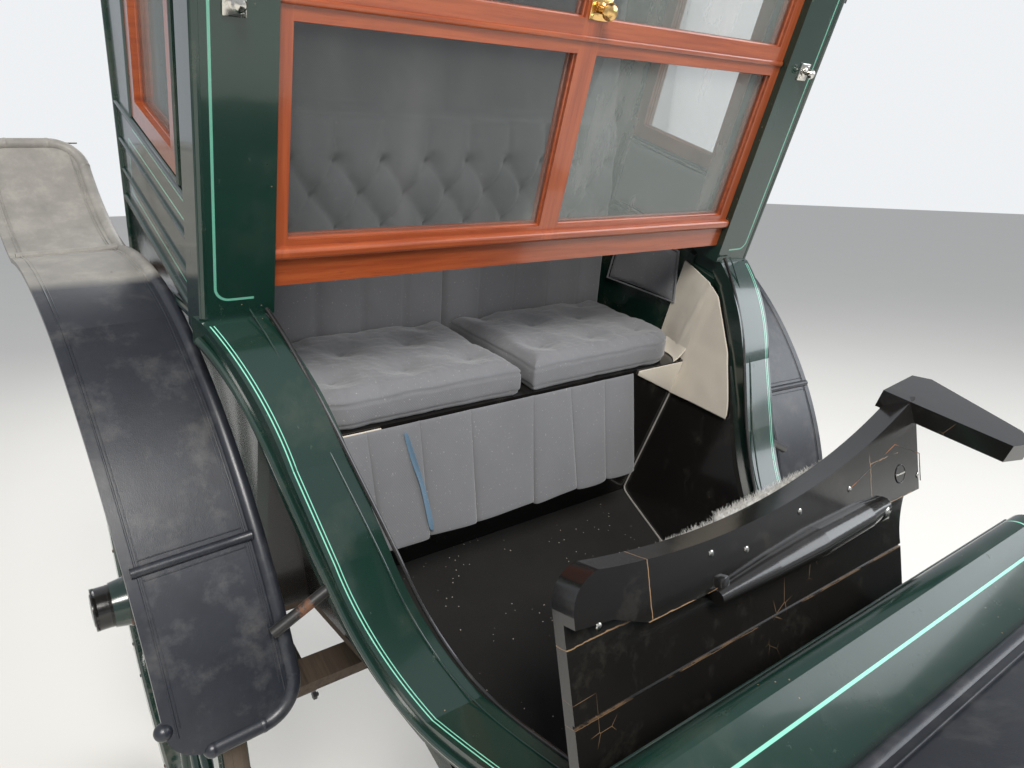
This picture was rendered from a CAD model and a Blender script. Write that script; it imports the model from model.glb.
import bpy, random
from math import atan2, cos, degrees, exp, hypot, pi, radians, sin, sqrt
from mathutils import Matrix, Vector, noise
from mathutils.bvhtree import BVHTree


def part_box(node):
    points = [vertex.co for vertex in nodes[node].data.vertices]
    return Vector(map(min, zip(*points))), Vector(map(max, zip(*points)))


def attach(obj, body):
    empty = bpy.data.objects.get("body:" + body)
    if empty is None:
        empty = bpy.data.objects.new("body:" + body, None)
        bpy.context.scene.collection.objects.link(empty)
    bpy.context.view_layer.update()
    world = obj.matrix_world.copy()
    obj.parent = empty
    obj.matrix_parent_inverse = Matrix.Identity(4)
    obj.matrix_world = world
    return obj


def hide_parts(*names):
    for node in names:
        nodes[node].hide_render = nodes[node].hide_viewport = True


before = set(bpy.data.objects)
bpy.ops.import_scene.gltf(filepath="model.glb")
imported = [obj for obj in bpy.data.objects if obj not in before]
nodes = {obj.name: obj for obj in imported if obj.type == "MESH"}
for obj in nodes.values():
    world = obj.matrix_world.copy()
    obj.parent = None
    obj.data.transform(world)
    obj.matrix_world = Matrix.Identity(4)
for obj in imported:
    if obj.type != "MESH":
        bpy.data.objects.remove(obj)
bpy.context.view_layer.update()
print("stage: frame loaded,", len(nodes), "nodes")

# The cab is modelled level, in millimetres, with X forward and the window sill at zero.
# It parks nose down on its shaft tips, so each finished piece is turned about the axle.
cab = {
    "tilt": 19.152,
    "axle": (-268.0, 0.0, -940.0),
    "wheelY": 688.0,
    "opening": 525.0,
    "pillarOuter": 633.0,
    "pillarFront": 16.0,
    "pillarFoot": -82.0,
}
axleLow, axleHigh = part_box("axle")
axleWorld = (axleLow + axleHigh) / 2
axleLevel = Vector(cab["axle"]) / 1000
levelToWorld = (Matrix.Translation(axleWorld) @ Matrix.Rotation(radians(cab["tilt"]), 4, "Y")
                @ Matrix.Translation(-axleLevel))
turnOnly = levelToWorld.to_3x3()


# Materials are written as maths on sockets
class Flow:  # one socket of a material, with maths written as plain expressions
    def __init__(self, tree, socket=None):
        self.tree, self.socket = tree, socket

    def node(self, kind, settings=None, values=None, out=0):
        made = self.tree.nodes.new(kind)
        for key, value in (settings or {}).items():
            if key == "stops":
                ramp = made.color_ramp
                while len(ramp.elements) < len(value):
                    ramp.elements.new(0.5)
                for element, (place, colour) in zip(ramp.elements, value):
                    element.position = place
                    element.color = (*colour, 1) if hasattr(colour, "__len__") else (colour, colour, colour, 1)
            else:
                setattr(made, key, value)
        for key, value in (values or {}).items():
            if isinstance(value, Flow):
                self.tree.links.new(value.socket, made.inputs[key])
            else:
                made.inputs[key].default_value = value
        return Flow(self.tree, made.outputs[out])

    def maths(self, operation, a, b=0.0, clamp=False):
        return self.node("ShaderNodeMath", {"operation": operation, "use_clamp": clamp}, {0: a, 1: b})

    def __add__(self, other): return self.maths("ADD", self, other)
    def __radd__(self, other): return self.maths("ADD", other, self)
    def __sub__(self, other): return self.maths("SUBTRACT", self, other)
    def __rsub__(self, other): return self.maths("SUBTRACT", other, self)
    def __mul__(self, other): return self.maths("MULTIPLY", self, other)
    def __rmul__(self, other): return self.maths("MULTIPLY", other, self)
    def __truediv__(self, other): return self.maths("DIVIDE", self, other)
    def __pow__(self, other): return self.maths("POWER", self, other)
    def __gt__(self, other): return self.maths("GREATER_THAN", self, other)
    def __lt__(self, other): return self.maths("LESS_THAN", self, other)
    def __abs__(self): return self.maths("ABSOLUTE", self)


def level(flow):  # the point in the level cab, in metres, as three flows and the vector
    back = levelToWorld.inverted()
    place = flow.node("ShaderNodeTexCoord", out=3)
    turned = flow.node("ShaderNodeMapping", {"vector_type": "POINT"},
                       {"Vector": place, "Location": tuple(back.translation), "Rotation": tuple(back.to_euler()), "Scale": (1, 1, 1)})
    parts = [flow.node("ShaderNodeSeparateXYZ", None, {0: turned}, out=i) for i in range(3)]
    return (*parts, turned)


def grainy(flow, place, scale, detail=3.0, rough=0.55, stretch=(1, 1, 1)):
    if stretch != (1, 1, 1):
        place = flow.node("ShaderNodeMapping", {"vector_type": "POINT"}, {"Vector": place, "Scale": stretch})
    return flow.node("ShaderNodeTexNoise", None, {"Vector": place, "Scale": scale, "Detail": detail, "Roughness": rough})


def ramp(flow, value, *stops):
    return flow.node("ShaderNodeValToRGB", {"stops": stops}, {0: value})


def mixed(flow, share, first, second):
    made = flow.tree.nodes.new("ShaderNodeMix")
    made.data_type = "RGBA"
    for socket, value in ((made.inputs[0], share), (made.inputs[6], first), (made.inputs[7], second)):
        if isinstance(value, Flow):
            flow.tree.links.new(value.socket, socket)
        else:
            socket.default_value = (*value, 1) if hasattr(value, "__len__") else value
    return Flow(flow.tree, made.outputs[2])


def line(value, centre, half, soft=0.0006):  # 1 on a line that is half wide either side of centre
    return value.maths("MULTIPLY", half - abs(value - centre) + soft / 2, 1 / soft, True)


def step(value, edge, soft=0.001):  # 0 below edge, 1 above
    return value.maths("MULTIPLY", value - edge, 1 / soft, True)


def shader(name, fixed, make):  # fixed: constant sockets; make(flow) returns links for the sockets that vary
    material = bpy.data.materials.new(name)
    material.use_nodes = True
    tree = material.node_tree
    surface = tree.nodes["Principled BSDF"]
    for key, value in fixed.items():
        surface.inputs[key].default_value = value
    flow = Flow(tree)
    for key, value in make(flow).items():
        if key == "bump":
            height, distance, strength = value
            bumped = flow.node("ShaderNodeBump", None, {"Height": height, "Distance": distance, "Strength": strength})
            tree.links.new(bumped.socket, surface.inputs["Normal"])
        elif isinstance(value, Flow):
            tree.links.new(value.socket, surface.inputs[key])
        else:
            surface.inputs[key].default_value = (*value, 1) if hasattr(value, "__len__") else value
    return material


paint = {
    "green": (0.0045, 0.019, 0.0135),
    "greenLight": (0.008, 0.030, 0.022),
    "mint": (0.22, 0.62, 0.46),
    "dust": (0.33, 0.29, 0.23),
    "stripe": 0.0019,
}


def greenPaint(name, stripes=None, dusty=0.15, coat=0.6):
    def make(flow):
        x, y, z, place = level(flow)
        tone = grainy(flow, place, 3.0, 4.0)
        colour = mixed(flow, tone, paint["green"], paint["greenLight"])
        scuffs = grainy(flow, place, 42.0, 5.0, 0.7, (1, 1, 0.35))
        scuff = flow.maths("MULTIPLY", step(scuffs, 0.66, 0.06), 0.35)
        colour = mixed(flow, scuff, colour, (0.05, 0.075, 0.06))
        if stripes:
            colour = mixed(flow, stripes(flow, x, y, z), colour, paint["mint"])
        film = grainy(flow, place, 7.0, 5.0, 0.65)
        dust = flow.maths("MULTIPLY", step(film, 0.52, 0.25), dusty)
        colour = mixed(flow, dust, colour, paint["dust"])
        chips = flow.node("ShaderNodeTexVoronoi", {"feature": "F1"}, {"Vector": place, "Scale": 65.0})
        chip = flow.maths("MULTIPLY", (0.07 - chips) > 0.0, step(grainy(flow, place, 9.0), 0.56, 0.02))
        colour = mixed(flow, chip, colour, (0.20, 0.13, 0.08))
        rough = 0.20 + scuff * 0.9 + dust * 0.9 + chip * 0.5
        wave = grainy(flow, place, 14.0, 2.0) * 0.7 + grainy(flow, place, 160.0, 2.0) * 0.05 - chip * 0.25
        return {"Base Color": colour, "Roughness": rough, "bump": (wave, 0.0022, 0.25)}
    return shader(name, {"Coat Weight": coat, "Coat Roughness": 0.07, "Specular IOR Level": 0.3 if coat < 0.5 else 0.5}, make)


def blackPaint(name, cracks=None, rough=0.20):
    def make(flow):
        x, y, z, place = level(flow)
        tone = grainy(flow, place, 5.0, 4.0)
        colour = mixed(flow, tone, (0.005, 0.005, 0.0055), (0.014, 0.0125, 0.011))
        film = step(grainy(flow, place, 13.0, 6.0, 0.7), 0.56, 0.3)
        colour = mixed(flow, film * 0.10, colour, paint["dust"])
        lines = flow.maths("MULTIPLY", cracks(flow, x, y, z, place), 1.0, True) if cracks else 0.0
        if cracks:
            colour = mixed(flow, lines, colour, (0.26, 0.16, 0.085))
        wave = grainy(flow, place, 22.0, 3.0) * 0.6 + grainy(flow, place, 220.0, 2.0) * 0.1 - lines * 0.5
        return {"Base Color": colour, "Roughness": rough + film * 0.22 + lines * 0.4, "bump": (wave, 0.0016, 0.3)}
    return shader(name, {"Coat Weight": 0.4, "Coat Roughness": 0.1}, make)


def varnishedWood(name, upright=None):  # upright(flow, x, y, z) is 1 where the grain runs up
    def make(flow):
        x, y, z, place = level(flow)
        across = grainy(flow, place, 16.0, 6.0, 0.55, (6, 0.35, 7))
        along = grainy(flow, place, 16.0, 6.0, 0.55, (7, 7, 0.3))
        pores = grainy(flow, place, 60.0, 4.0, 0.6, (8, 0.35, 9))
        poresUp = grainy(flow, place, 60.0, 4.0, 0.6, (9, 9, 0.3))
        if upright:
            share = upright(flow, x, y, z)
            grain = across * (1 - share) + along * share
            fine = pores * (1 - share) + poresUp * share
        else:
            grain, fine = across, pores
        colour = ramp(flow, grain, (0.30, (0.23, 0.046, 0.015)), (0.48, (0.29, 0.062, 0.019)), (0.62, (0.34, 0.078, 0.024)), (0.80, (0.26, 0.052, 0.016)))
        colour = mixed(flow, step(fine, 0.60, 0.06) * 0.45, colour, (0.12, 0.022, 0.008))
        return {"Base Color": colour, "Roughness": 0.24 + fine * 0.12, "bump": (fine, 0.0006, 0.2)}
    return shader(name, {"Coat Weight": 0.7, "Coat Roughness": 0.10}, make)


def greyCloth(name, colour=(0.160, 0.162, 0.172), lint=0.0, scale=900.0):
    def make(flow):
        x, y, z, place = level(flow)
        tone = grainy(flow, place, 6.0, 5.0, 0.6)
        weave = flow.node("ShaderNodeTexWave", {"wave_type": "BANDS", "bands_direction": "DIAGONAL"},
                          {"Vector": place, "Scale": scale / 6, "Distortion": 1.2, "Detail": 1.0})
        nap = grainy(flow, place, scale, 2.0, 0.6)
        dark, pale = tuple(c * 0.72 for c in colour), tuple(min(1, c * 1.28) for c in colour)
        cloth = mixed(flow, tone * 0.6 + nap * 0.4, dark, pale)
        specks = grainy(flow, place, 260.0, 1.0, 0.5)
        cloth = mixed(flow, step(specks, 0.72, 0.02) * (0.35 + lint), cloth, (0.55, 0.52, 0.47))
        return {"Base Color": cloth, "Roughness": 0.93, "bump": (weave * 0.35 + nap * 0.8, 0.0009, 0.35)}
    return shader(name, {"Sheen Weight": 0.35, "Sheen Roughness": 0.5, "Specular IOR Level": 0.2}, make)


def blackLeather(name, dustFrom=None, grey=0.0):
    def make(flow):
        x, y, z, place = level(flow)
        cells = flow.node("ShaderNodeTexVoronoi", {"feature": "DISTANCE_TO_EDGE"}, {"Vector": place, "Scale": 420.0})
        crease = grainy(flow, place, 24.0, 6.0, 0.65)
        colour = mixed(flow, crease, (0.008, 0.0092, 0.013), (0.022, 0.025, 0.034))
        film = grainy(flow, place, 16.0, 6.0, 0.7)
        share = step(film, 0.50, 0.35) * 0.22
        if dustFrom:
            share = flow.maths("MULTIPLY", share + dustFrom(flow, x, y, z) * (0.35 + film * 0.9), 1.0, True)
        colour = mixed(flow, share, colour, (0.30, 0.285, 0.26))
        worn = step(grainy(flow, place, 38.0, 4.0, 0.75), 0.68, 0.04)
        colour = mixed(flow, worn * 0.4, colour, (0.075, 0.062, 0.05))
        return {"Base Color": colour, "Roughness": 0.36 + share * 0.4 + worn * 0.15,
                "bump": (cells * 0.35 + crease * 0.8 + film * 0.35, 0.0012, 0.4)}
    return shader(name, {"Coat Weight": 0.15, "Coat Roughness": 0.3}, make)


def carpetPile(name):
    def make(flow):
        x, y, z, place = level(flow)
        pile = grainy(flow, place, 700.0, 2.0, 0.7)
        tone = grainy(flow, place, 8.0, 4.0, 0.6)
        colour = mixed(flow, tone * 0.5 + pile * 0.5, (0.004, 0.004, 0.004), (0.022, 0.021, 0.020))
        crumbs = flow.node("ShaderNodeTexVoronoi", {"feature": "F1"}, {"Vector": place, "Scale": 75.0})
        crumb = flow.maths("MULTIPLY", (0.09 - crumbs) > 0.0, step(grainy(flow, place, 12.0, 3.0), 0.52, 0.03))
        colour = mixed(flow, crumb, colour, (0.42, 0.39, 0.34))
        return {"Base Color": colour, "Roughness": 0.97, "bump": (pile + crumb * 0.8, 0.002, 0.6)}
    return shader(name, {"Sheen Weight": 0.08, "Specular IOR Level": 0.15}, make)


def ironPaint(name, rusty=0.5):
    def make(flow):
        x, y, z, place = level(flow)
        tone = grainy(flow, place, 30.0, 5.0, 0.65)
        rust = step(grainy(flow, place, 18.0, 6.0, 0.72), 0.62 - rusty * 0.12, 0.05)
        colour = mixed(flow, tone, (0.008, 0.008, 0.009), (0.024, 0.022, 0.020))
        colour = mixed(flow, rust * rusty, colour, mixed(flow, tone, (0.16, 0.055, 0.022), (0.30, 0.13, 0.05)))
        return {"Base Color": colour, "Roughness": 0.38 + rust * 0.4, "bump": (tone * 0.4 + rust * 0.5, 0.0012, 0.35)}
    return shader(name, {"Coat Weight": 0.1}, make)


def brightMetal(name, colour=(0.62, 0.60, 0.55), dull=0.3):
    def make(flow):
        x, y, z, place = level(flow)
        spots = step(grainy(flow, place, 90.0, 5.0, 0.7), 0.55, 0.2)
        shade = mixed(flow, spots * dull, colour, tuple(c * 0.35 for c in colour))
        return {"Base Color": shade, "Roughness": 0.18 + spots * 0.25, "bump": (spots, 0.0004, 0.2)}
    return shader(name, {"Metallic": 1.0}, make)


def dustyRubber(name):
    def make(flow):
        x, y, z, place = level(flow)
        tone = grainy(flow, place, 14.0, 6.0, 0.7)
        colour = mixed(flow, tone, (0.055, 0.040, 0.030), (0.165, 0.125, 0.090))
        cuts = step(grainy(flow, place, 80.0, 5.0, 0.8, (1, 4, 1)), 0.63, 0.05)
        colour = mixed(flow, cuts * 0.6, colour, (0.035, 0.028, 0.024))
        return {"Base Color": colour, "Roughness": 0.78, "bump": (tone * 0.6 - cuts * 0.5, 0.0016, 0.4)}
    return shader(name, {"Specular IOR Level": 0.3}, make)


def windowGlass(name):
    def make(flow):
        x, y, z, place = level(flow)
        facing = flow.node("ShaderNodeLayerWeight", None, {"Blend": 0.32}, out=0)
        streaks = grainy(flow, place, 5.0, 5.0, 0.7, (1, 2.2, 0.6))
        film = step(streaks, 0.50, 0.4)
        return {"Base Color": mixed(flow, film, (0.40, 0.45, 0.43), (0.62, 0.62, 0.58)), "Roughness": 0.03 + film * 0.05,
                "Alpha": flow.maths("ADD", facing * 0.42 + film * 0.035, 0.025, True)}
    return shader(name, {"Specular IOR Level": 0.8, "IOR": 1.5}, make)


def boards(name):
    def make(flow):
        x, y, z, place = level(flow)
        grain = grainy(flow, place, 10.0, 6.0, 0.65, (0.6, 8, 8))
        colour = ramp(flow, grain, (0.3, (0.035, 0.024, 0.016)), (0.55, (0.085, 0.060, 0.040)), (0.75, (0.045, 0.032, 0.022)))
        return {"Base Color": colour, "Roughness": 0.75, "bump": (grain, 0.002, 0.35)}
    return shader(name, {}, make)


def flapCracks(flow, x, y, z, place):  # crazed paint that runs along the flap's joints
    up = (z + 0.430) * cos(radians(30)) - (x - 0.769) * sin(radians(30))
    wander = (grainy(flow, place, 26.0, 5.0, 0.7) - 0.5) * 0.010
    broken = step(grainy(flow, place, 7.0, 3.0), 0.44, 0.04)
    joint = line(up + wander, 0.2365, 0.0009, 0.0006) * step(0 - y, -0.392)
    groove = line(up + wander * 0.3, 0.132, 0.0006, 0.0005) * 0.5
    plate = line(y + wander, 0.262, 0.0008) * step(up, 0.262) * step(0 - up, -0.345) + line(y + wander * 0.6, -0.263, 0.0007) * step(up, 0.238)
    plate = plate + line(up - wander, 0.318, 0.0007) * step(y, 0.262) * step(0 - y, -0.352)
    stray = flow.node("ShaderNodeTexVoronoi", {"feature": "DISTANCE_TO_EDGE"}, {"Vector": place, "Scale": 17.0})
    stray = line(stray, 0.0, 0.007, 0.004) * step(grainy(flow, place, 5.0, 2.0), 0.66, 0.03) * 0.55
    return (joint + plate) * broken + groove * broken + stray


# Stripes, in metres of the level cab
def pillarStripes(flow, x, y, z):  # down the outer edge, round a corner and part of the way across
    side, corner, low, outer = abs(y), 0.020, -0.052, 0.612
    a, b = side - (outer - corner), z - (low + corner)
    radius = flow.maths("SQRT", a * a + b * b, 0.0)
    bend = line(radius, corner, paint["stripe"]) * (a > 0.0) * (b < 0.0)
    up = line(side, outer, paint["stripe"]) * (b > 0.0)
    foot = line(z, low, paint["stripe"]) * (a < 0.0) * step(side, 0.556)
    return flow.maths("MULTIPLY", up + foot + bend, step(x, 0.0155), True)


def railStripes(flow, x, y, z):
    side = abs(y)
    outer = 0.645 - x * ((0.645 - 0.381) / 0.78)
    inner = 0.545 - x * ((0.545 - 0.285) / 0.78)
    up = flow.node("ShaderNodeNewGeometry", out=1)
    turned = flow.node("ShaderNodeSeparateXYZ", None, {0: up}, out=2)
    lines = line(outer - side, 0.010, 0.0009) + line(outer - side, 0.0155, 0.0007)
    return flow.maths("MULTIPLY", lines * step(turned, 0.2, 0.05), step(x, 0.03), True)


def wheelStripes(flow, x, y, z):
    dx, dz = x - axleLevel.x, z - axleLevel.z
    radius = flow.maths("SQRT", dx * dx + dz * dz, 0.0)
    felloe = line(radius, 0.612, 0.0016) + line(radius, 0.640, 0.0016)
    nave = line(radius, 0.077, 0.0016)
    return flow.maths("MULTIPLY", felloe + nave, step(abs(y), 0.700), True)


def sideStripes(flow, x, y, z):
    side = step(abs(y), 0.6205, 0.0004)
    windowBand = (line(x, -0.460, 0.0016) + line(x, -0.092, 0.0016)) * step(z, 0.052) * step(0 - z, -0.672)
    windowBand = windowBand + (line(z, 0.052, 0.0016) + line(z, 0.672, 0.0016)) * step(x, -0.462) * step(0 - x, 0.090)
    low = line(z, 0.022, 0.0016) + line(z, -0.082, 0.0016)
    low = low * step(x, -0.505) * step(0 - x, 0.082)
    low = low + (line(x, -0.505, 0.0016) + line(x, -0.084, 0.0016)) * step(z, -0.083) * step(0 - z, -0.023)
    return flow.maths("MULTIPLY", windowBand + low, side, True)


def dashStripes(flow, x, y, z):
    side = abs(y)
    shelf = step(z, -0.262) * step(0 - side, -0.545)
    near = line(x, 0.852, 0.0022) * shelf
    corner = line(x - y * 0.05, 0.933, 0.0018) * step(0 - y, 0.003) * shelf
    forward = line(y - (x - 0.933) * 0.25, -0.004, 0.0018) * step(x, 0.932) * shelf
    front = line(side, 0.548, 0.0022) * step(0 - x, -0.853) + line(z, -0.700, 0.0022) * step(0 - side, -0.549) * step(0 - x, -0.7815)
    return flow.maths("ADD", near + corner + forward, front, True)


finishes = {
    "greenPanels": greenPaint("greenPanels"),
    "greenPillars": greenPaint("greenPillars", pillarStripes, 0.04),
    "greenRails": greenPaint("greenRails", railStripes, 0.07),
    "greenWheels": greenPaint("greenWheels", wheelStripes, 0.5),
    "greenSides": greenPaint("greenSides", sideStripes, 0.12),
    "greenDash": greenPaint("greenDash", dashStripes, 0.05, 0.25),
    "greenShafts": greenPaint("greenShafts", None, 0.35),
    "blackPaint": blackPaint("blackPaint"),
    "blackGloss": blackPaint("blackGloss", None, 0.1),
    "sashBead": varnishedWood("sashBead"),
    "paintCrack": ironPaint("paintCrack", 1.0),
    "leatherWelt": blackLeather("leatherWelt", lambda flow, x, y, z: step(z, -2.0)),
    "leatherRoof": blackLeather("leatherRoof"),
    "blackFlap": blackPaint("blackFlap", flapCracks, 0.16),
    "sashWood": varnishedWood("sashWood", lambda flow, x, y, z: flow.maths(
        "ADD", step(abs(y), 0.5016, 0.0002), step(0 - abs(y), -0.0211, 0.0002), True)),
    "boardWood": varnishedWood("boardWood"),
    "greyCloth": greyCloth("greyCloth"),
    "greyPlush": greyCloth("greyPlush", (0.46, 0.45, 0.43), 0.2, 500.0),
    "creamCloth": greyCloth("creamCloth", (0.56, 0.51, 0.43)),
    "blueTape": greyCloth("blueTape", (0.10, 0.17, 0.24)),
    "leatherWing": blackLeather("leatherWing", lambda flow, x, y, z: step(0 - x, 0.235, 0.03)),
    "leatherDash": blackLeather("leatherDash"),
    "leatherSeat": blackLeather("leatherSeat"),
    "carpetPile": carpetPile("carpetPile"),
    "ironPaint": ironPaint("ironPaint"),
    "nickel": brightMetal("nickel"),
    "brass": brightMetal("brass", (0.78, 0.50, 0.20), 0.35),
    "dustyRubber": dustyRubber("dustyRubber"),
    "windowGlass": windowGlass("windowGlass"),
    "boards": boards("boards"),
}
print("stage: finishes made")

dressed = {
    "greenPanels": ["back_panel", "lower_side_left", "lower_side_right"],
    "greenSides": ["body_side_left", "body_side_right"],
    "greenPillars": ["pillar_left", "pillar_right"],
    "greenRails": ["knee_rail_left", "knee_rail_right"],
    "greenWheels": ["wheel_left", "wheel_right"],
    "greenDash": ["dash_board"],
    "greenShafts": ["shaft_left", "shaft_right"],
    "blackPaint": ["footwell_side_left", "footwell_side_right", "front_wall", "roof", "trap_door", "flap_grip", "driver_footboard", "driver_seat",
                   "seat_box", "hub_cap_left", "hub_cap_right"],
    "blackFlap": ["knee_flap"],
    "sashWood": ["lower_sash", "upper_sash"],
    "boardWood": ["sill_board", "front_header", "side_window_frames"],
    "greyCloth": ["seat_back", "seat_skirt", "seat_cushion_left", "seat_cushion_right"],
    "greyPlush": ["flap_lining"],
    "creamCloth": ["side_trims"],
    "leatherWing": ["wing_left", "wing_right"],
    "leatherDash": ["dash_leather"],
    "leatherSeat": ["driver_cushion"],
    "carpetPile": ["floor_carpet"],
    "ironPaint": ["axle", "springs", "steps", "wing_stays", "driver_irons", "driver_rail", "cross_bar", "flap_hinge", "lamp_sockets"],
    "dustyRubber": ["tyre_left", "tyre_right"],
    "windowGlass": ["front_glass", "side_glass"],
    "boards": ["floor_boards", "cross_members"],
}
for finish, names in dressed.items():
    for name in names:
        mesh = nodes[name].data
        mesh.materials.clear()
        mesh.materials.append(finishes[finish])
        nodes[name].select_set(False)
print("stage: CAD nodes dressed")

# The camera stands where the photograph was taken from
eye = {"place": (1.0056, -0.8768, 0.4869), "lens": 25.56,
       "right": (0.5530, 0.8113, 0.1896), "down": (0.5305, -0.1674, -0.8310), "ahead": (-0.6425, 0.5601, -0.5230)}
axes = Matrix([Vector(eye["right"]), -Vector(eye["down"]), -Vector(eye["ahead"])]).transposed()
camera = bpy.data.objects.new("camera", bpy.data.cameras.new("camera"))
camera.data.sensor_width = 36.0
camera.data.lens = eye["lens"]
camera.data.clip_start = 0.02
bpy.context.scene.collection.objects.link(camera)
camera.matrix_world = (turnOnly @ axes).to_4x4()
camera.location = levelToWorld @ Vector(eye["place"])
bpy.context.scene.camera = camera
bpy.context.scene.view_settings.view_transform = "Standard"


def plainMaterial(name, colour, rough):
    def make(flow):
        seen = flow.node("ShaderNodeLightPath", out=0)
        tone = grainy(flow, flow.node("ShaderNodeTexCoord", out=3), 2.0, 3.0)
        return {"Base Color": mixed(flow, tone, tuple(c * 0.97 for c in colour), colour), "Roughness": rough}
    return shader(name, {"Specular IOR Level": 0.2}, make)


bpy.ops.mesh.primitive_plane_add(size=60, location=(0, 0, 0))
ground = bpy.context.object
ground.name = "ground"
ground.data.materials.append(plainMaterial("paleFloor", (0.72, 0.70, 0.66), 0.9))

world = bpy.data.worlds.new("studio")
bpy.context.scene.world = world
world.use_nodes = True
studio = Flow(world.node_tree)
plain = world.node_tree.nodes["Background"]
plain.inputs["Color"].default_value = (0.86, 0.90, 0.96, 1)
plain.inputs["Strength"].default_value = 0.62
pale = studio.node("ShaderNodeBackground", None, {"Color": (0.86, 0.88, 0.90, 1), "Strength": 1.0})
seen = studio.node("ShaderNodeLightPath", out=0)
skyMix = world.node_tree.nodes.new("ShaderNodeMixShader")
for socket, link in ((0, seen.socket), (1, plain.outputs[0]), (2, pale.socket)):
    world.node_tree.links.new(link, skyMix.inputs[socket])
world.node_tree.links.new(skyMix.outputs[0], world.node_tree.nodes["World Output"].inputs["Surface"])


def softLight(name, place, target, size, watts, colour=(1, 1, 1)):
    data = bpy.data.lights.new(name, "AREA")
    data.size, data.energy, data.color = size, watts, colour
    made = bpy.data.objects.new(name, data)
    made.location = place
    made.rotation_euler = (Vector(target) - Vector(place)).to_track_quat("-Z", "Y").to_euler()
    bpy.context.scene.collection.objects.link(made)


softLight("keyLight", (3.0, -1.6, 4.8), (-0.6, 0, 0.9), 1.8, 330, (1.0, 0.97, 0.92))
softLight("fillLight", (2.5, 4.5, 3.4), (0, 0, 0.9), 3.5, 150, (0.92, 0.96, 1.0))
softLight("rearLight", (-4.5, 1.5, 4.0), (0, 0, 1.2), 3.0, 140)
print("stage: camera, floor and light")


def pickNothing():
    if bpy.context.object and bpy.context.object.mode == "EDIT":
        bpy.ops.object.mode_set(mode="OBJECT")
    bpy.ops.object.select_all(action="DESELECT")


def hold(piece):
    pickNothing()
    piece.select_set(True)
    bpy.context.view_layer.objects.active = piece
    return piece


def editing(piece):
    hold(piece)
    bpy.ops.object.mode_set(mode="EDIT")
    bpy.ops.mesh.select_all(action="SELECT")


def done():
    bpy.ops.object.mode_set(mode="OBJECT")


def meshed(piece):  # curves become meshes, and the place goes into the mesh
    if piece.type != "MESH":
        curve, piece = piece, bpy.data.objects.new("bar", bpy.data.meshes.new_from_object(piece))
        bpy.context.scene.collection.objects.link(piece)
        bpy.data.objects.remove(curve)
    hold(piece)
    bpy.ops.object.transform_apply(location=True, rotation=True, scale=True)
    return piece


def joined(pieces):
    pieces = [meshed(piece) for piece in pieces]
    hold(pieces[0])
    for piece in pieces:
        piece.select_set(True)
    bpy.ops.object.join()
    return bpy.context.object


def settle(pieces, name, finish, body="root", smooth=35, level=True):
    piece = joined(pieces if isinstance(pieces, list) else [pieces])
    piece.name = name
    if level:
        piece.data.transform(levelToWorld)
    if smooth:
        bpy.ops.object.shade_smooth_by_angle(angle=radians(smooth))
    piece.data.materials.clear()
    piece.data.materials.append(finishes[finish])
    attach(piece, body)
    piece.select_set(False)
    return piece


def mirroredCopy(piece):  # the same piece on the other side of the cab
    other = piece.copy()
    other.data = piece.data.copy()
    bpy.context.scene.collection.objects.link(other)
    other = meshed(other)
    hold(other)
    bpy.ops.object.mode_set(mode="EDIT")
    bpy.ops.mesh.select_all(action="SELECT")
    bpy.ops.transform.resize(value=(1, -1, 1), center_override=(0, 0, 0))
    bpy.ops.mesh.flip_normals()
    done()
    return other


def block(low, high, bevel=0.0, segments=2, turn=(0, 0, 0)):
    pickNothing()
    middle = [(a + b) / 2000 for a, b in zip(low, high)]
    size = [abs(b - a) / 1000 for a, b in zip(low, high)]
    bpy.ops.mesh.primitive_cube_add(size=1, location=middle, scale=size)
    made = bpy.context.object
    bpy.ops.object.transform_apply(location=False, rotation=False, scale=True)
    if bevel:
        editing(made)
        bpy.ops.mesh.bevel(offset=bevel / 1000, segments=segments, affect="EDGES")
        done()
    made.rotation_euler = [radians(a) for a in turn]
    return made


turns = {"Z": (0, 0, 0), "X": (0, pi / 2, 0), "-X": (0, -pi / 2, 0), "Y": (-pi / 2, 0, 0), "-Y": (pi / 2, 0, 0), "-Z": (pi, 0, 0)}


def lathed(profile, place, along="Z", sides=24, turn=None):  # profile of (radius, height)
    pickNothing()
    radius, height = profile[0]
    bpy.ops.mesh.primitive_circle_add(vertices=sides, radius=radius / 1000, fill_type="NGON")
    made = bpy.context.object
    editing(made)
    bpy.ops.transform.translate(value=(0, 0, height / 1000))
    for nextRadius, nextHeight in profile[1:]:
        bpy.ops.mesh.extrude_region_move(TRANSFORM_OT_translate={"value": (0, 0, (nextHeight - height) / 1000)})
        share = nextRadius / radius
        bpy.ops.transform.resize(value=(share, share, 1), center_override=(0, 0, nextHeight / 1000))
        radius, height = nextRadius, nextHeight
    bpy.ops.mesh.select_all(action="SELECT")
    bpy.ops.mesh.normals_make_consistent(inside=False)
    done()
    made.rotation_euler = turn or turns[along]
    made.location = [c / 1000 for c in place]
    return made


def tube(points, radius, closed=False, curved=True, sides=3, flat=None):
    pickNothing()
    bpy.ops.curve.primitive_nurbs_path_add()
    made = bpy.context.object
    curve = made.data
    curve.splines.clear()
    line = curve.splines.new("NURBS" if curved else "POLY")
    line.points.add(len(points) - 1)
    for spot, point in zip(line.points, points):
        spot.co = (*(c / 1000 for c in point), 1)
    line.use_cyclic_u = closed
    if curved:
        line.order_u = 3
        line.use_endpoint_u = not closed
    curve.dimensions = "3D"
    curve.resolution_u = 5
    curve.bevel_depth = radius / 1000
    curve.bevel_resolution = sides
    curve.use_fill_caps = True
    return made


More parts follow.
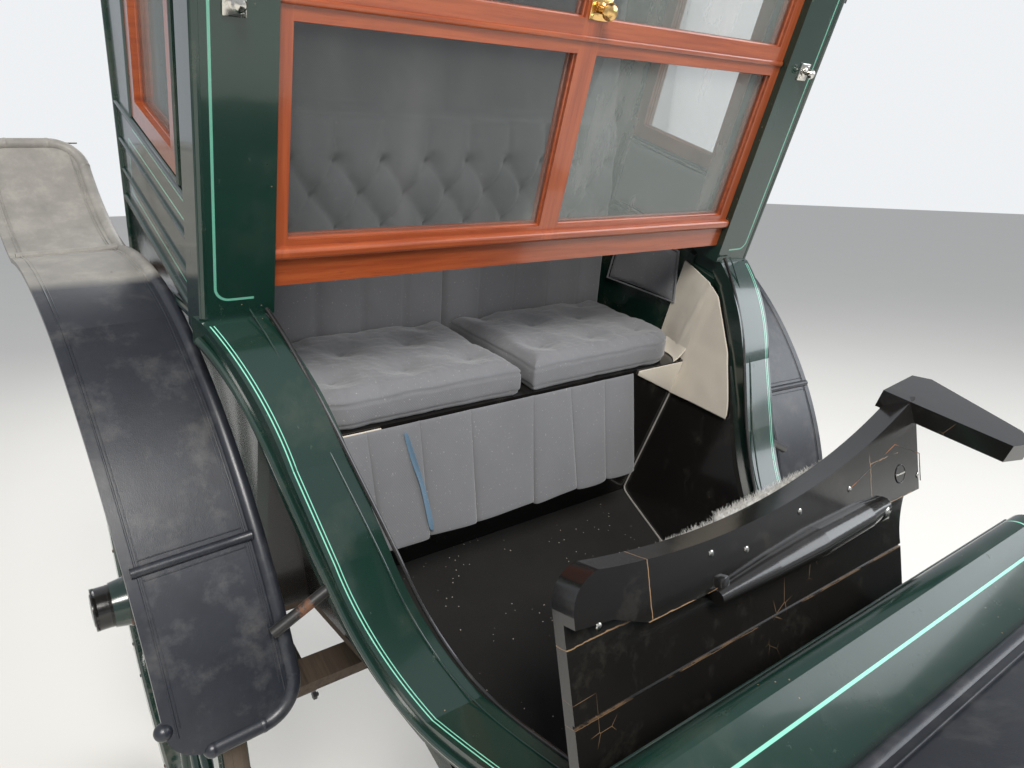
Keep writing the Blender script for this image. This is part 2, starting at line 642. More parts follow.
def plate(outline, low, high, across="Y", bevel=0.0, segments=2):
    """across Y: outline is (x, z) and low to high are y; X: (y, z); Z: (x, y)"""
    pickNothing()
    bpy.ops.mesh.primitive_circle_add(vertices=len(outline), radius=0.1, fill_type="NGON")
    made = bpy.context.object
    for vertex, (a, b) in zip(made.data.vertices, outline):
        spot = {"Y": (a, low, b), "X": (low, a, b), "Z": (a, b, low)}[across]
        vertex.co = [c / 1000 for c in spot]
    editing(made)
    run = (high - low) / 1000
    bpy.ops.mesh.extrude_region_move(TRANSFORM_OT_translate={"value": {"Y": (0, run, 0), "X": (run, 0, 0), "Z": (0, 0, run)}[across]})
    bpy.ops.mesh.select_all(action="SELECT")
    bpy.ops.mesh.normals_make_consistent(inside=False)
    if bevel:
        bpy.ops.mesh.bevel(offset=bevel / 1000, segments=segments, affect="EDGES")
    done()
    return made


def copiedTo(piece, places):  # one copy at each further place, each with its own mesh
    made = [piece]
    for place in places:
        other = piece.copy()
        other.data = piece.data.copy()
        other.location = [c / 1000 for c in place]
        bpy.context.scene.collection.objects.link(other)
        made.append(other)
    return made


def dome(place, radius, along="Z", height=None, sides=16):  # a round screw or bolt head
    h = height or radius * 0.6
    return lathed([(radius, -1.0), (radius, h * 0.35), (radius * 0.8, h * 0.75), (radius * 0.45, h * 0.96), (radius * 0.1, h)], place, along, sides)


def nut(place, radius, along="Z", height=8.0):
    return lathed([(radius, -1.0), (radius, height * 0.85), (radius * 0.86, height), (radius * 0.5, height), (radius * 0.5, height * 1.5), (radius * 0.4, height * 1.6)],
                  place, along, 6)


def both(make):  # makes a piece on the left, and its mirror image on the right
    left = make()
    left = joined(left if isinstance(left, list) else [left])
    return [left, mirroredCopy(left)]


print("stage: helpers ready")

# Soft pieces: padded shapes swell in one cloth simulation, then get their tufts and seams
swelling = {"voxel": 6.0, "pressure": 4.0, "frames": 20}
waiting = []


def seatFrame():  # from the sloping seat's own axes to the level cab: X forward, Z up from the board
    slope = radians(12.0)
    turn = Matrix(((cos(slope), 0, -sin(slope)), (0, 1, 0), (sin(slope), 0, cos(slope))))
    return Matrix.Translation((0.050, 0, -0.326)) @ turn.to_4x4()


def fromNode(name, shrink, frameOf):  # a copy of a CAD solid in its own axes, slightly smaller, as even quads
    mesh = nodes[name].data.copy()
    piece = bpy.data.objects.new(name + "Pad", mesh)
    bpy.context.scene.collection.objects.link(piece)
    mesh.transform((levelToWorld @ frameOf).inverted())
    editing(piece)
    bpy.ops.mesh.remove_doubles(threshold=0.0002)
    done()
    low = [min(v.co[i] for v in mesh.vertices) for i in range(3)]
    high = [max(v.co[i] for v in mesh.vertices) for i in range(3)]
    for vertex in mesh.vertices:
        for i in range(3):
            middle = (low[i] + high[i]) / 2
            vertex.co[i] = middle + (vertex.co[i] - middle) * (1 - 2 * shrink[i] / 1000 / (high[i] - low[i]))
    return evenQuads(piece)


def evenQuads(piece, size=None):
    hold(piece)
    piece.data.remesh_voxel_size = (size or swelling["voxel"]) / 1000
    bpy.ops.object.voxel_remesh()
    return piece


def swell(piece, cap, shape, pressure=None):
    waiting.append((piece, cap, shape))
    hold(piece)
    bpy.ops.object.modifier_add(type="CLOTH")
    cloth = piece.modifiers[-1]
    cloth.settings.quality = 4
    cloth.settings.mass = 0.3
    cloth.settings.use_pressure = True
    cloth.settings.uniform_pressure_force = pressure or swelling["pressure"]
    cloth.settings.effector_weights.gravity = 0
    cloth.settings.tension_stiffness = 20
    cloth.settings.compression_stiffness = 20
    cloth.settings.bending_stiffness = 2
    cloth.point_cache.frame_start, cloth.point_cache.frame_end = 1, swelling["frames"]


def finishSwelling():
    for number in range(1, swelling["frames"] + 1):
        bpy.context.scene.frame_set(number)
    for piece, cap, shape in waiting:
        start = [v.co.copy() for v in piece.data.vertices]
        hold(piece)
        if piece.modifiers:
            bpy.ops.object.modifier_apply(modifier=piece.modifiers[0].name)
            for vertex, old in zip(piece.data.vertices, start):
                move = vertex.co - old
                if move.length > cap / 1000:
                    vertex.co = old + move * (cap / 1000 / move.length)
        bpy.ops.object.modifier_add(type="SUBSURF")
        piece.modifiers[-1].levels = piece.modifiers[-1].render_levels = 1
        bpy.ops.object.modifier_apply(modifier=piece.modifiers[-1].name)
        shape(piece)


def bump(distance, reach):  # 1 at the middle, 0 at reach
    if distance >= reach:
        return 0.0
    return (1 - (distance / reach) ** 2) ** 2


def wave(point, size, seed=0.0):
    return noise.noise(Vector((point[0] / size + seed, point[1] / size - seed, point[2] / size)))


seatPads = {
    "tufts": [(-85, 95), (-85, 245), (-85, 395), (-215, 170), (-215, 320), (-300, 90), (-300, 400)],
    "depth": 11.0, "reach": 62.0, "buttonReach": 13.0, "seam": (52.0, 12.0), "crown": 5.0,
}


def shapeCushion(piece):
    for vertex in piece.data.vertices:
        x, y, z = vertex.co * 1000
        side = abs(y)
        top = max(0.0, min(1.0, (z - 36) / 18))
        low = max(0.0, min(1.0, (14 - z) / 12))
        drop = 0.0
        for tx, ty in seatPads["tufts"]:
            away = hypot(x - tx, side - ty)
            drop += seatPads["depth"] * bump(away, seatPads["reach"]) + 3.5 * bump(away, seatPads["buttonReach"])
        rumple = wave((x, y, z), 34, 3.1) * 2.2 + wave((x, y, z), 12, 8.7) * 0.9
        z += top * (seatPads["crown"] - drop + rumple)
        z -= low * z  # it lies flat on its board
        seam = min(abs(z - seatPads["seam"][0] - wave((x, y, 0), 60) * 2.5), abs(z - seatPads["seam"][1]))
        edge = 1 - top * max(0.0, min(1.0, (z - 58) / 6))
        groove = bump(seam, 4.0) * 2.4 * edge * (1 - low)
        centre = Vector((-180.0, 243.0 if y > 0 else -243.0, z))
        out = Vector((x, y, z)) - centre
        if out.length > 90:
            out.normalize()
            lean = wave((x, y, z), 45, 1.3) * 1.6 * (1 - top)
            x -= out.x * (groove - lean)
            y -= out.y * (groove - lean)
        vertex.co = Vector((x, y, max(z, 0.3))) / 1000
    piece.data.transform(seatFrame())


cushions = []
for side in ("left", "right"):
    pad = fromNode("seat_cushion_" + side, (7, 7, 6), seatFrame())
    swell(pad, 11, shapeCushion)
    cushions.append((side, pad))

driverFrame = Matrix.Translation((-0.960, 0, 0.5444))


def shapeDriverPad(piece):
    for vertex in piece.data.vertices:
        x, y, z = vertex.co * 1000
        top = max(0.0, min(1.0, (z - 34) / 18))
        low = max(0.0, min(1.0, (12 - z) / 10))
        drop = 0.0
        for tx in (-60, 60):
            for ty in (-120, 0, 120):
                drop += 9 * bump(hypot(x - tx, y - ty), 55) + 4 * bump(hypot(x - tx, y - ty), 12)
        z += top * (2 - drop + wave((x, y, z), 30, 5.5) * 1.2)
        z -= low * z
        vertex.co = Vector((x, y, max(z, 0.2))) / 1000
    piece.data.transform(driverFrame)


driverPad = fromNode("driver_cushion", (6, 6, 5), driverFrame)
swell(driverPad, 9, shapeDriverPad)


def softPanel(outline, low, high):  # a thin wadded panel standing on a side wall
    piece = plate(outline, low, high, "Y", 2.5)
    piece.data.transform(Matrix.Identity(4))
    return evenQuads(meshed(piece), 5.0)


trims = {
    "arm": [(-312, -278), (-70, -232), (-105, -110), (-312, -110)],
    "upper": [(-426, -94), (-84, -94), (-84, 73), (-426, 73)],
}


def keepLevel(piece):
    for vertex in piece.data.vertices:
        x, y, z = vertex.co * 1000
        vertex.co.y += wave((x, y, z), 40, 2.2) * 0.0012


armPads = []
for side, sign in (("Left", 1), ("Right", -1)):
    armPads.append((side, softPanel(trims["arm"], *sorted((sign * 530, sign * 538)))))
    armPads.append((side, softPanel(trims["upper"], *sorted((sign * 587, sign * 595)))))
    swell(armPads[-2][1], 5, keepLevel, 2.5)
    swell(armPads[-1][1], 5, keepLevel, 2.5)

lean = radians(30.0)
flapFrame = Matrix.Translation((0.769, 0, -0.430)) @ Matrix(
    ((0, -sin(lean), cos(lean)), (1, 0, 0), (0, cos(lean), sin(lean)))).to_4x4()  # X along the flap, Y up it, Z out of its face


def shapePlush(piece):
    for vertex in piece.data.vertices:
        x, y, z = vertex.co * 1000
        rise = max(0.0, (y - 250) / 45)
        vertex.co.y += rise * (0.012 + 0.00007 * (x + 358) * (1 if x > -60 else 0.4)) * max(0.0, 1 - (x / 372) ** 8)
        vertex.co.z += wave((x, y, z), 22, 4.4) * 0.0018
    piece.data.transform(flapFrame)


plush = fromNode("flap_lining", (5, 5, 5), flapFrame)
swell(plush, 7, shapePlush)
finishSwelling()

for side, pad in cushions:
    pad = settle(pad, "seatCushion" + side.title(), "greyCloth", smooth=80)
    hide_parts("seat_cushion_" + side)
driverPad = settle(driverPad, "driverCushionPad", "leatherSeat", smooth=80)
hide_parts("driver_cushion")
leftTrims = settle([pad for side, pad in armPads if side == "Left"], "armPanelsLeft", "greyCloth", smooth=80)
rightTrims = settle([pad for side, pad in armPads if side == "Right"], "armPanelsRight", "greyCloth", smooth=80)
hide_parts("side_trims")
plush = settle(plush, "flapPlush", "greyPlush", "knee_flap", smooth=80)
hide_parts("flap_lining")
print("stage: cushions and pads")


# The seat's back: vertical pleats low down, then buttoned diamonds, a rolled edge and plain cloth
squab = {
    "low": (-0.292, -0.318), "high": (-0.500, 0.640), "half": 512, "pitch": 106.0, "rows": [148, 217, 285, 353],
    "rollEdge": 444, "crest": 30.0, "step": 26.0, "mesh": 7.0, "bottom": -40,
}


def squabRelief(across, up):
    p = squab["pitch"]
    rows = squab["rows"]
    if up > squab["rollEdge"]:
        edge = min(1.0, (up - squab["rollEdge"]) / 20)
        flute = 2.5 * abs(sin(pi * across / (p * 2))) ** 0.4
        return -squab["step"] * edge ** 0.5 + flute * edge
    height = 0.0
    if up < rows[0] + 10:
        pleat = squab["crest"] * 0.62 * abs(sin(pi * across / p)) ** 0.30
        share = max(0.0, min(1.0, (rows[0] + 10 - up) / 40))
    else:
        pleat, share = 0.0, 0.0
    if up > rows[-1]:
        fold = squab["crest"] * (0.35 + 0.65 * abs(sin(pi * (across / p + 0.5))) ** 0.42)
        over = max(0.0, min(1.0, (up - rows[-1]) / 26))
        roundOff = max(0.0, 1 - ((up - rows[-1]) / (squab["rollEdge"] - rows[-1] + 6)) ** 4) ** 0.5
        fold *= 0.25 + 0.75 * roundOff
    else:
        fold, over = 0.0, 0.0
    pitchUp = (rows[-1] - rows[0]) / 3 * 2
    a = across / p + (up - rows[0]) / pitchUp
    b = across / p - (up - rows[0]) / pitchUp
    bulge = (abs(sin(pi * a)) * abs(sin(pi * b))) ** 0.40
    nearest = 1e9
    for number, row in enumerate(rows):
        shift = 0.5 if number % 2 else 0.0
        k = round(across / p - shift) + shift
        nearest = min(nearest, hypot(across - k * p, up - row))
    diamond = squab["crest"] * (0.30 * min(1.0, nearest / 34) + 0.70 * bulge)
    height = diamond * (1 - share) * (1 - over) + pleat * share + fold * over
    height -= 8.0 * bump(nearest, 14) * (1 - share)
    return height - 8


def squabPlace(across, up, out):
    (ax, az), (bx, bz) = squab["low"], squab["high"]
    length = hypot(bx - ax, bz - az)
    ux, uz = (bx - ax) / length, (bz - az) / length
    return (ax + ux * up / 1000 + uz * out / 1000, across / 1000, az + uz * up / 1000 - ux * out / 1000)


def makeSquab():
    step = squab["mesh"]
    columns = int(2 * squab["half"] / step)
    top = 978
    rowsUp = int((top - squab["bottom"]) / step)
    pickNothing()
    bpy.ops.mesh.primitive_grid_add(x_subdivisions=columns, y_subdivisions=rowsUp, size=2)
    piece = bpy.context.object
    for vertex in piece.data.vertices:
        across = vertex.co.x * (squab["half"] - 1)
        up = squab["bottom"] + (vertex.co.y + 1) / 2 * (top - squab["bottom"])
        edge = min(1.0, (squab["half"] - abs(across)) / 22)
        relief = squabRelief(across, up) * edge ** 0.5 - 20 * (1 - edge) ** 2 + wave((across, up, 0), 30, 6.2) * 1.0
        vertex.co = squabPlace(across, up, relief - 14)
    editing(piece)
    bpy.ops.mesh.select_mode(type="EDGE")
    bpy.ops.mesh.select_all(action="DESELECT")
    bpy.ops.mesh.select_non_manifold()
    bpy.ops.mesh.extrude_region_move(TRANSFORM_OT_translate={"value": (-0.030, 0, -0.0065)})
    bpy.ops.mesh.edge_face_add()
    bpy.ops.mesh.select_all(action="SELECT")
    bpy.ops.mesh.normals_make_consistent(inside=False)
    bpy.ops.mesh.select_mode(type="VERT")
    done()
    return piece


back = settle(makeSquab(), "seatBackPad", "greyCloth", smooth=75)
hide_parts("seat_back")
buttons = []
for number, row in enumerate(squab["rows"]):
    shift = 0.5 if number % 2 else 0.0
    for k in range(-5, 6):
        across = (k + shift) * squab["pitch"]
        if abs(across) < squab["half"] - 30:
            place = squabPlace(across, row, squabRelief(across, row) - 14)
            head = dome([c * 1000 for c in place], 8.0, "X", 5.0, 12)
            head.rotation_euler = (0, pi / 2 + radians(-12), 0)
            buttons.append(head)
for side in (-1, 1):
    for tx, ty in seatPads["tufts"]:
        spot = seatFrame() @ Vector((tx / 1000, side * ty / 1000, 0.051))
        head = dome(spot * 1000, 7.0, "Z", 4.0, 12)
        head.rotation_euler = (0, radians(-12), 0)
        buttons.append(head)
settle(buttons, "clothButtons", "greyCloth", smooth=60)
print("stage: seat back")


# The skirt hangs plumb from the seat's front edge, so it leans forward in the parked cab
skirt = {"folds": [(-368, -347), (-259, -245), (-144, -132), (13, 20), (115, 142), (215, 232)], "ends": ((-425, -425), (306, 328)),
         "top": -325, "x": 58.0, "length": 251, "depth": 9.0, "thickness": 3.0}


def skirtLine(share):  # one level of the skirt, as (y, depth) points
    line = []
    mix = lambda pair: pair[0] + (pair[1] - pair[0]) * share
    edges = [mix(skirt["ends"][0])] + [mix(pair) for pair in skirt["folds"]] + [mix(skirt["ends"][1])]
    deep = skirt["depth"] * (0.55 + 0.45 * share)
    for number, (a, b) in enumerate(zip(edges, edges[1:])):
        width = b - a
        for k, (place, out) in enumerate([(0.0, -deep), (0.02, -2.0), (0.05, 1.0), (0.25, 2.5), (0.5, 2.0), (0.75, 1.5), (0.94, 0.0), (0.985, -2.5)]):
            line.append((a + width * place, out + 2.0 * share * sin(number * 2.1 + place * 5)))
        line.append((b - width * 0.012, -deep))
    return line


def makeSkirt():
    levels = 16
    lines = [skirtLine(i / levels) for i in range(levels + 1)]
    pickNothing()
    bpy.ops.mesh.primitive_grid_add(x_subdivisions=len(lines[0]) - 1, y_subdivisions=levels, size=2)
    piece = bpy.context.object
    plumb = Vector((sin(radians(cab["tilt"])), 0, -cos(radians(cab["tilt"]))))
    outward = Vector((cos(radians(cab["tilt"])), 0, sin(radians(cab["tilt"]))))
    count = len(lines[0])
    for number, vertex in enumerate(piece.data.vertices):
        row, column = divmod(number, count)
        share = row / levels
        y, out = lines[row][column]
        hem = 1.0 + 0.012 * sin(column * 0.55) * share
        spot = Vector((skirt["x"], y, skirt["top"])) + plumb * skirt["length"] * share * hem + outward * (out * min(1.0, 0.3 + share) + 1.5)
        vertex.co = spot / 1000
    area = sum(face.area for face in piece.data.polygons)
    width = sum(hypot(b[0] - a[0], b[1] - a[1]) for a, b in zip(lines[8], lines[8][1:])) / 1000
    hold(piece)
    bpy.ops.object.modifier_add(type="SOLIDIFY")
    piece.modifiers[-1].thickness = skirt["thickness"] / 1000
    bpy.ops.object.modifier_apply(modifier=piece.modifiers[-1].name)
    bpy.ops.object.modifier_add(type="SUBSURF")
    piece.modifiers[-1].levels = piece.modifiers[-1].render_levels = 1
    bpy.ops.object.modifier_apply(modifier=piece.modifiers[-1].name)
    return piece, width, area


hanging, skirtWidth, skirtArea = makeSkirt()
hanging = settle(hanging, "seatSkirtCloth", "greyCloth", smooth=50)
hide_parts("seat_skirt")


def makeStrip():  # a strip of the skirt's blue binding that has come loose
    path = [(70, -293, -335), (78, -286, -362), (92, -276, -400), (104, -262, -440), (121, -252, -490), (142, -243, -545)]
    wide = [9, 11, 13, 12, 14, 12]
    pickNothing()
    bpy.ops.mesh.primitive_grid_add(x_subdivisions=2, y_subdivisions=len(path) - 1, size=2)
    piece = bpy.context.object
    for number, vertex in enumerate(piece.data.vertices):
        row, column = divmod(number, 3)
        x, y, z = path[row]
        side = (column - 1) * wide[row] / 2
        twist = sin(row * 1.4) * 0.5
        vertex.co = Vector((x + abs(side) * 0.25 + side * twist, y + side * cos(twist), z)) / 1000
    area = sum(face.area for face in piece.data.polygons)
    hold(piece)
    bpy.ops.object.modifier_add(type="SOLIDIFY")
    piece.modifiers[-1].thickness = 0.0008
    bpy.ops.object.modifier_apply(modifier=piece.modifiers[-1].name)
    bpy.ops.object.modifier_add(type="SUBSURF")
    piece.modifiers[-1].levels = piece.modifiers[-1].render_levels = 2
    bpy.ops.object.modifier_apply(modifier=piece.modifiers[-1].name)
    return piece, area


strip, stripArea = makeStrip()
strip = settle(strip, "looseBinding", "blueTape", smooth=50)
print("stage: skirt")

# Linings of the footwell and the seat's ends
def wellHalf(x, z):  # half width inside the footwell
    return 430 - 155 * (x - 50) / 730 + 105 * (z + 735) / 635


def along(points, x):  # a height read off a broken line
    for (xa, za), (xb, zb) in zip(points, points[1:]):
        if xa <= x <= xb:
            return za + (zb - za) * (x - xa) / (xb - xa)
    return points[0][1] if x < points[0][0] else points[-1][1]


linings = {
    "under": [(-78, -121), (-5, -130), (20, -133), (60, -149), (161, -238), (232, -331), (245, -358)],
    "kick": [(-80, -458), (121, -396), (245, -361)],
    "columns": 40, "rows": 26, "thickness": 4.0,
}


def liningY(x, z):
    near = 536.0
    far = wellHalf(max(x, 60), z) - 4
    share = max(0.0, min(1.0, (x + 78) / 138))
    share = share * share * (3 - 2 * share)
    return near + (far - near) * share


def makeLining():
    pickNothing()
    bpy.ops.mesh.primitive_grid_add(x_subdivisions=linings["columns"], y_subdivisions=linings["rows"], size=2)
    piece = bpy.context.object
    for vertex in piece.data.vertices:
        x = -78 + (vertex.co.x + 1) / 2 * 321
        low = -326 - 0.2126 * (50 - x) + 1 if x < 47 else along(linings["kick"], x)
        high = along(linings["under"], x)
        z = low + (vertex.co.y + 1) / 2 * (high - low)
        soft = wave((x, 0, z), 46, 3.3) * 2.2 - 5 * bump(abs(x - 12 - (z + 250) * 0.12), 7)
        vertex.co = (x / 1000, (liningY(x, z) - 2 + soft * 0.6) / 1000, z / 1000)
    hold(piece)
    bpy.ops.object.modifier_add(type="SOLIDIFY")
    piece.modifiers[-1].thickness = linings["thickness"] / 1000
    piece.modifiers[-1].offset = 0
    bpy.ops.object.modifier_apply(modifier=piece.modifiers[-1].name)
    editing(piece)
    bpy.ops.mesh.normals_make_consistent(inside=False)
    done()
    return piece


for side, piece in zip(("Left", "Right"), both(makeLining)):
    settle(piece, "creamLining" + side, "creamCloth", smooth=60)


def makeSeatEnd(x0, x1, high):  # wadding on the board between a cushion's rounded end and the wall
    pickNothing()
    bpy.ops.mesh.primitive_grid_add(x_subdivisions=24, y_subdivisions=8, size=2)
    piece = bpy.context.object
    for vertex in piece.data.vertices:
        x = x0 + (vertex.co.x + 1) / 2 * (x1 - x0)
        inner = (392 + sqrt(max(0.0, 93 ** 2 - (x + 74) ** 2)) if x > -74 else 485) + 3
        share = (vertex.co.y + 1) / 2
        outer = 536 if x < -100 else liningY(50 + x * cos(radians(12)), -330) + 2
        y = inner + (outer - inner) * share
        vertex.co = (x / 1000, y / 1000, (1.5 + high * share ** 1.6) / 1000)
    hold(piece)
    bpy.ops.object.modifier_add(type="SOLIDIFY")
    piece.modifiers[-1].thickness = 0.003
    piece.modifiers[-1].offset = 0
    bpy.ops.object.modifier_apply(modifier=piece.modifiers[-1].name)
    editing(piece)
    bpy.ops.mesh.normals_make_consistent(inside=False)
    done()
    piece.data.transform(seatFrame())
    return piece


for side, piece in zip(("Left", "Right"), both(lambda: makeSeatEnd(-100, -2, 26))):
    settle(piece, "seatEndCream" + side, "creamCloth", smooth=60)
for side, piece in zip(("Left", "Right"), both(lambda: makeSeatEnd(-345, -100, 26))):
    settle(piece, "seatEndGrey" + side, "greyCloth", smooth=60)


def kickWelt():
    points = [(x, wellHalf(x, along(linings["kick"], x)) - 5, along(linings["kick"], x)) for x in (52, 90, 130, 170, 210, 243)]
    corner = [(53, wellHalf(53, z) - 3, z) for z in (-422, -520, -620, -700, -724)]
    floor = [(x, wellHalf(x, -727) - 3, -726) for x in (56, 90, 180, 300, 420, 540, 650, 755)]
    return [tube(points, 2.6), tube(corner + floor[1:], 2.4)]


settle(both(kickWelt), "liningWelts", "leatherWelt")
armWelt = lambda outline, y: tube([(x, y, z) for x, z in outline], 3.0, closed=True, curved=False)
settle(both(lambda: [armWelt([(-314, -279), (-68, -231), (-104, -108), (-314, -108)], 531), armWelt([(-428, -95), (-82, -95), (-82, 75), (-428, 75)], 588)]),
       "armWelts", "greyCloth")
creamCorner = [(334, -329), (484, -329), (477, -417), (334, -341)]
for side, piece in zip(("Left", "Right"), both(lambda: plate(creamCorner, 51, 54.5, "X", 1.2))):
    settle(piece, "seatCorner" + side, "creamCloth", smooth=60)
print("stage: linings")

# Knee rails: a bead round each edge and a rebate line
railEdge = [(21, 537, -70), (60, 525, -91), (161, 495, -171), (232, 465, -257), (305, 433, -346), (397, 404, -443), (508, 367, -500), (640, 330, -485), (772, 288, -456)]


def railBeads():
    inner = [(x + 3, y + 3, z + 1) for x, y, z in railEdge]
    line = [(x, y + 27, z + 1) for x, y, z in railEdge]
    outer = [(22, 638, -86), (60, 622, -97), (161, 589, -176), (232, 566, -262), (305, 541, -351), (397, 510, -447), (508, 472, -503), (640, 428, -487), (772, 383, -457)]
    low = [(x - 6 * max(0.0, 1 - abs(x - 232) / 200), y + 2, z - 24) for x, y, z in outer]
    return inner, line, outer, low


railLines = railBeads()
settle(both(lambda: tube(railLines[0], 3.6)), "railBeads", "blackPaint")
settle(both(lambda: [tube([(x, y, z) for x, y, z in railLines[1]], 1.6), tube(railLines[3], 6.0)]), "railMouldings", "greenPanels")

# Window: beads round the panes, an astragal at the joint, the catch and the pillars' fittings
panes = [(-501.6, -21.1, 29.6, 332.5), (21.1, 501.6, 29.6, 332.5), (-501.6, -21.1, 386.7, 720.0), (21.1, 501.6, 386.7, 720.0)]


def paneBead(y0, y1, z0, z1):
    made = []
    for depth, size in ((-9.8, 5.2), (-24.0, 5.2)):
        frameLine = [(depth, y0, z0), (depth, y1, z0), (depth, y1, z1), (depth, y0, z1)]
        made.append(tube(frameLine, size / 2 + 0.6, closed=True, curved=False, sides=2))
    return made


settle([bead for pane in panes for bead in paneBead(*pane)], "paneBeads", "sashBead")
settle([block((-2, -523, 352), (5, 523, 361), 2.2), block((-1, -523, 738), (6, 523, 750), 2.4)], "sashAstragals", "sashWood")


def sideWindowBeads():
    x0, x1, z0, z1 = -398, -152, 117, 608
    made = []
    for y in (612.5, 604.0):
        made.append(tube([(x0, y, z0), (x1, y, z0), (x1, y, z1), (x0, y, z1)], 3.0, closed=True, curved=False, sides=2))
    return made


settle(both(sideWindowBeads), "sideWindowBeads", "sashBead")
catch = [lathed([(13, 0), (13, 2.5), (7, 4), (5.5, 12), (9, 16), (13, 21), (14, 26), (11, 31), (5, 33), (0.5, 33.5)], (0, 6, 402), "X", 28),
         block((0, -16, 385), (3, 28, 419), 1.2), dome((3, -10, 391), 2.4, "X"), dome((3, 22, 413), 2.4, "X")]
settle(catch, "windowCatch", "brass")


def pillarFitting():
    base = block((14, 567, 332), (20, 597, 366), 2.0)
    stud = lathed([(9, 0), (9, 3), (5, 5), (4.5, 12), (8.5, 15), (9.5, 19), (7, 23), (2.5, 24.5), (0.4, 25)], (19, 582, 349), "X", 24)
    return [base, stud, dome((20, 573, 338), 2.2, "X"), dome((20, 591, 360), 2.2, "X")]


settle(both(pillarFitting), "pillarFittings", "nickel")
settle(both(lambda: [tube([(11, 628, -80), (11, 628, 786)], 7.0, curved=False)]), "pillarBeads", "greenPanels")
hingePlates = [block((-3, y - 24, 706), (3.2, y + 24, 742), 1.0) for y in (-380, 0, 380)]
hingePlates += [tube([(5, y - 26, 744), (5, y + 26, 744)], 4.2, curved=False) for y in (-380, 0, 380)]
hingePlates += [dome((3, y + dy, 716), 2.4, "X") for y in (-380, 0, 380) for dy in (-15, 15)]
settle(hingePlates, "sashHinges", "brass")
print("stage: window and pillars")

# Body: belt mouldings, a bead along the curved lower edge, window hoods and the back's panel beads
def backX(z):  # outer face of the back at a height, for heights above its curve
    return -515 - 185 * (z + 513) / 1303


def bodyMouldings():
    made = [tube([(-56, 622, z), (backX(z) + 4, 622, z)], r, curved=False) for z, r in ((66, 5.0), (0, 4.0), (-58, 4.0), (-112, 6.0))]
    made.append(tube([(-58, 622, -119), (-140, 622, -138), (-300, 622, -184), (-430, 622, -228), (backX(-262) + 4, 622, -260)], 6.5))
    made.append(tube([(backX(786) + 2, 622, 786), (backX(-262) + 2, 622, -262)], 6.0, curved=False))
    made.append(tube([(-436, 624, 79), (-114, 624, 79), (-114, 624, 646), (-436, 624, 646)], 4.5, closed=True, curved=False))
    return made


settle(both(bodyMouldings), "bodyMouldings", "greenPanels")
lowPanel = [(-62, -121), (-62, -114), (backX(-114) + 8, -114), (backX(-250) + 8, -250), (-430, -221), (-300, -177), (-140, -131)]
settle(both(lambda: plate(lowPanel, 619.5, 622.5, "Y", 0.8)), "lowerSidePanels", "blackGloss")
backBeads = []
for y0, y1, z0, z1 in ((-560, 560, 90, 700), (-560, 560, -480, 20)):
    loop = [(backX(z0), y0, z0), (backX(z0), y1, z0), (backX(z1), y1, z1), (backX(z1), y0, z1)]
    backBeads.append(tube(loop, 5.0, closed=True, curved=False))
backBeads.append(tube([(backX(56), -622, 56), (backX(56), 622, 56)], 6.5, curved=False))
settle(backBeads, "backMouldings", "greenPanels")

# Roof: an eaves moulding, covering laps and screws, and the trap's fittings
eaves = [(44, -650, 797), (44, 650, 797), (-718, 650, 797), (-718, -650, 797)]
drip = [(44, -650, 813), (44, 650, 813), (-718, 650, 813), (-718, -650, 813)]
settle([tube(eaves, 8.0, closed=True, curved=False), tube(drip, 4.0, closed=True, curved=False)], "roofMoulding", "blackGloss")


def roofTop(y):
    radius = (652 ** 2 + 48 ** 2) / (2 * 48)
    return 862 - radius + sqrt(radius ** 2 - y ** 2)


laps = [tube([(x, y, roofTop(y) + 0.5) for y in range(-640, 641, 64)], 2.2) for x in (-240, -690, 20)]
settle(laps, "roofLaps", "leatherRoof")
tacks = []
for x in (-722 + 14, 48 - 14):
    tacks += [(x, y, roofTop(y) + 0.5) for y in range(-600, 601, 60)]
tackHead = dome(tacks[0], 4.0, "Z", 2.0, 8)
settle(copiedTo(tackHead, tacks[1:]), "roofTacks", "ironPaint")
trap = {"x": (-600, -330), "half": 130, "top": 880.4}
straps = []
for y in (-70, 70):
    straps += [block((-520, y - 11, 894.2), (-322, y + 11, 897.6), 1.0), dome((-500, y, 897), 4.0), dome((-440, y, 897), 4.0), dome((-370, y, 897), 4.0)]
knob = lathed([(14, 0), (14, 3), (7, 5), (6, 14), (15, 19), (18, 25), (15, 31), (6, 34), (0.6, 34.5)], (-525, 0, 894), "Z", 28)
straps.append(knob)
settle(straps, "trapStraps", "ironPaint", "trap_door")
settle([tube([(-622, -152, 862), (-308, -152, 862), (-308, 152, 862), (-622, 152, 862)], 6.0, closed=True, curved=False)], "trapCoamingBead", "blackPaint")
print("stage: body and roof")


# Wings: the seams and cross bars lie on the leather
skew = radians(3.6)


def onWing(across, angle, lift, sign):  # a place on the wing's upper face, from its own angle about the axle
    turned = wingTrees[sign]
    far = Vector((-268 + 1100 * cos(radians(angle)), across, -940 + 1100 * sin(radians(angle))))
    near = Vector((-268, across, -940))

    def place(p):
        x, y = p.x - 334, p.y
        spot = Vector((334 + x * cos(skew) + y * sin(skew), 696 - x * sin(skew) + y * cos(skew), p.z))
        return Vector((spot.x, spot.y * sign, spot.z))
    a, b = place(far) / 1000, place(near) / 1000
    hit, normal, face, away = turned.ray_cast(a, (b - a).normalized())
    return None if hit is None else (hit + normal * lift / 1000) * 1000


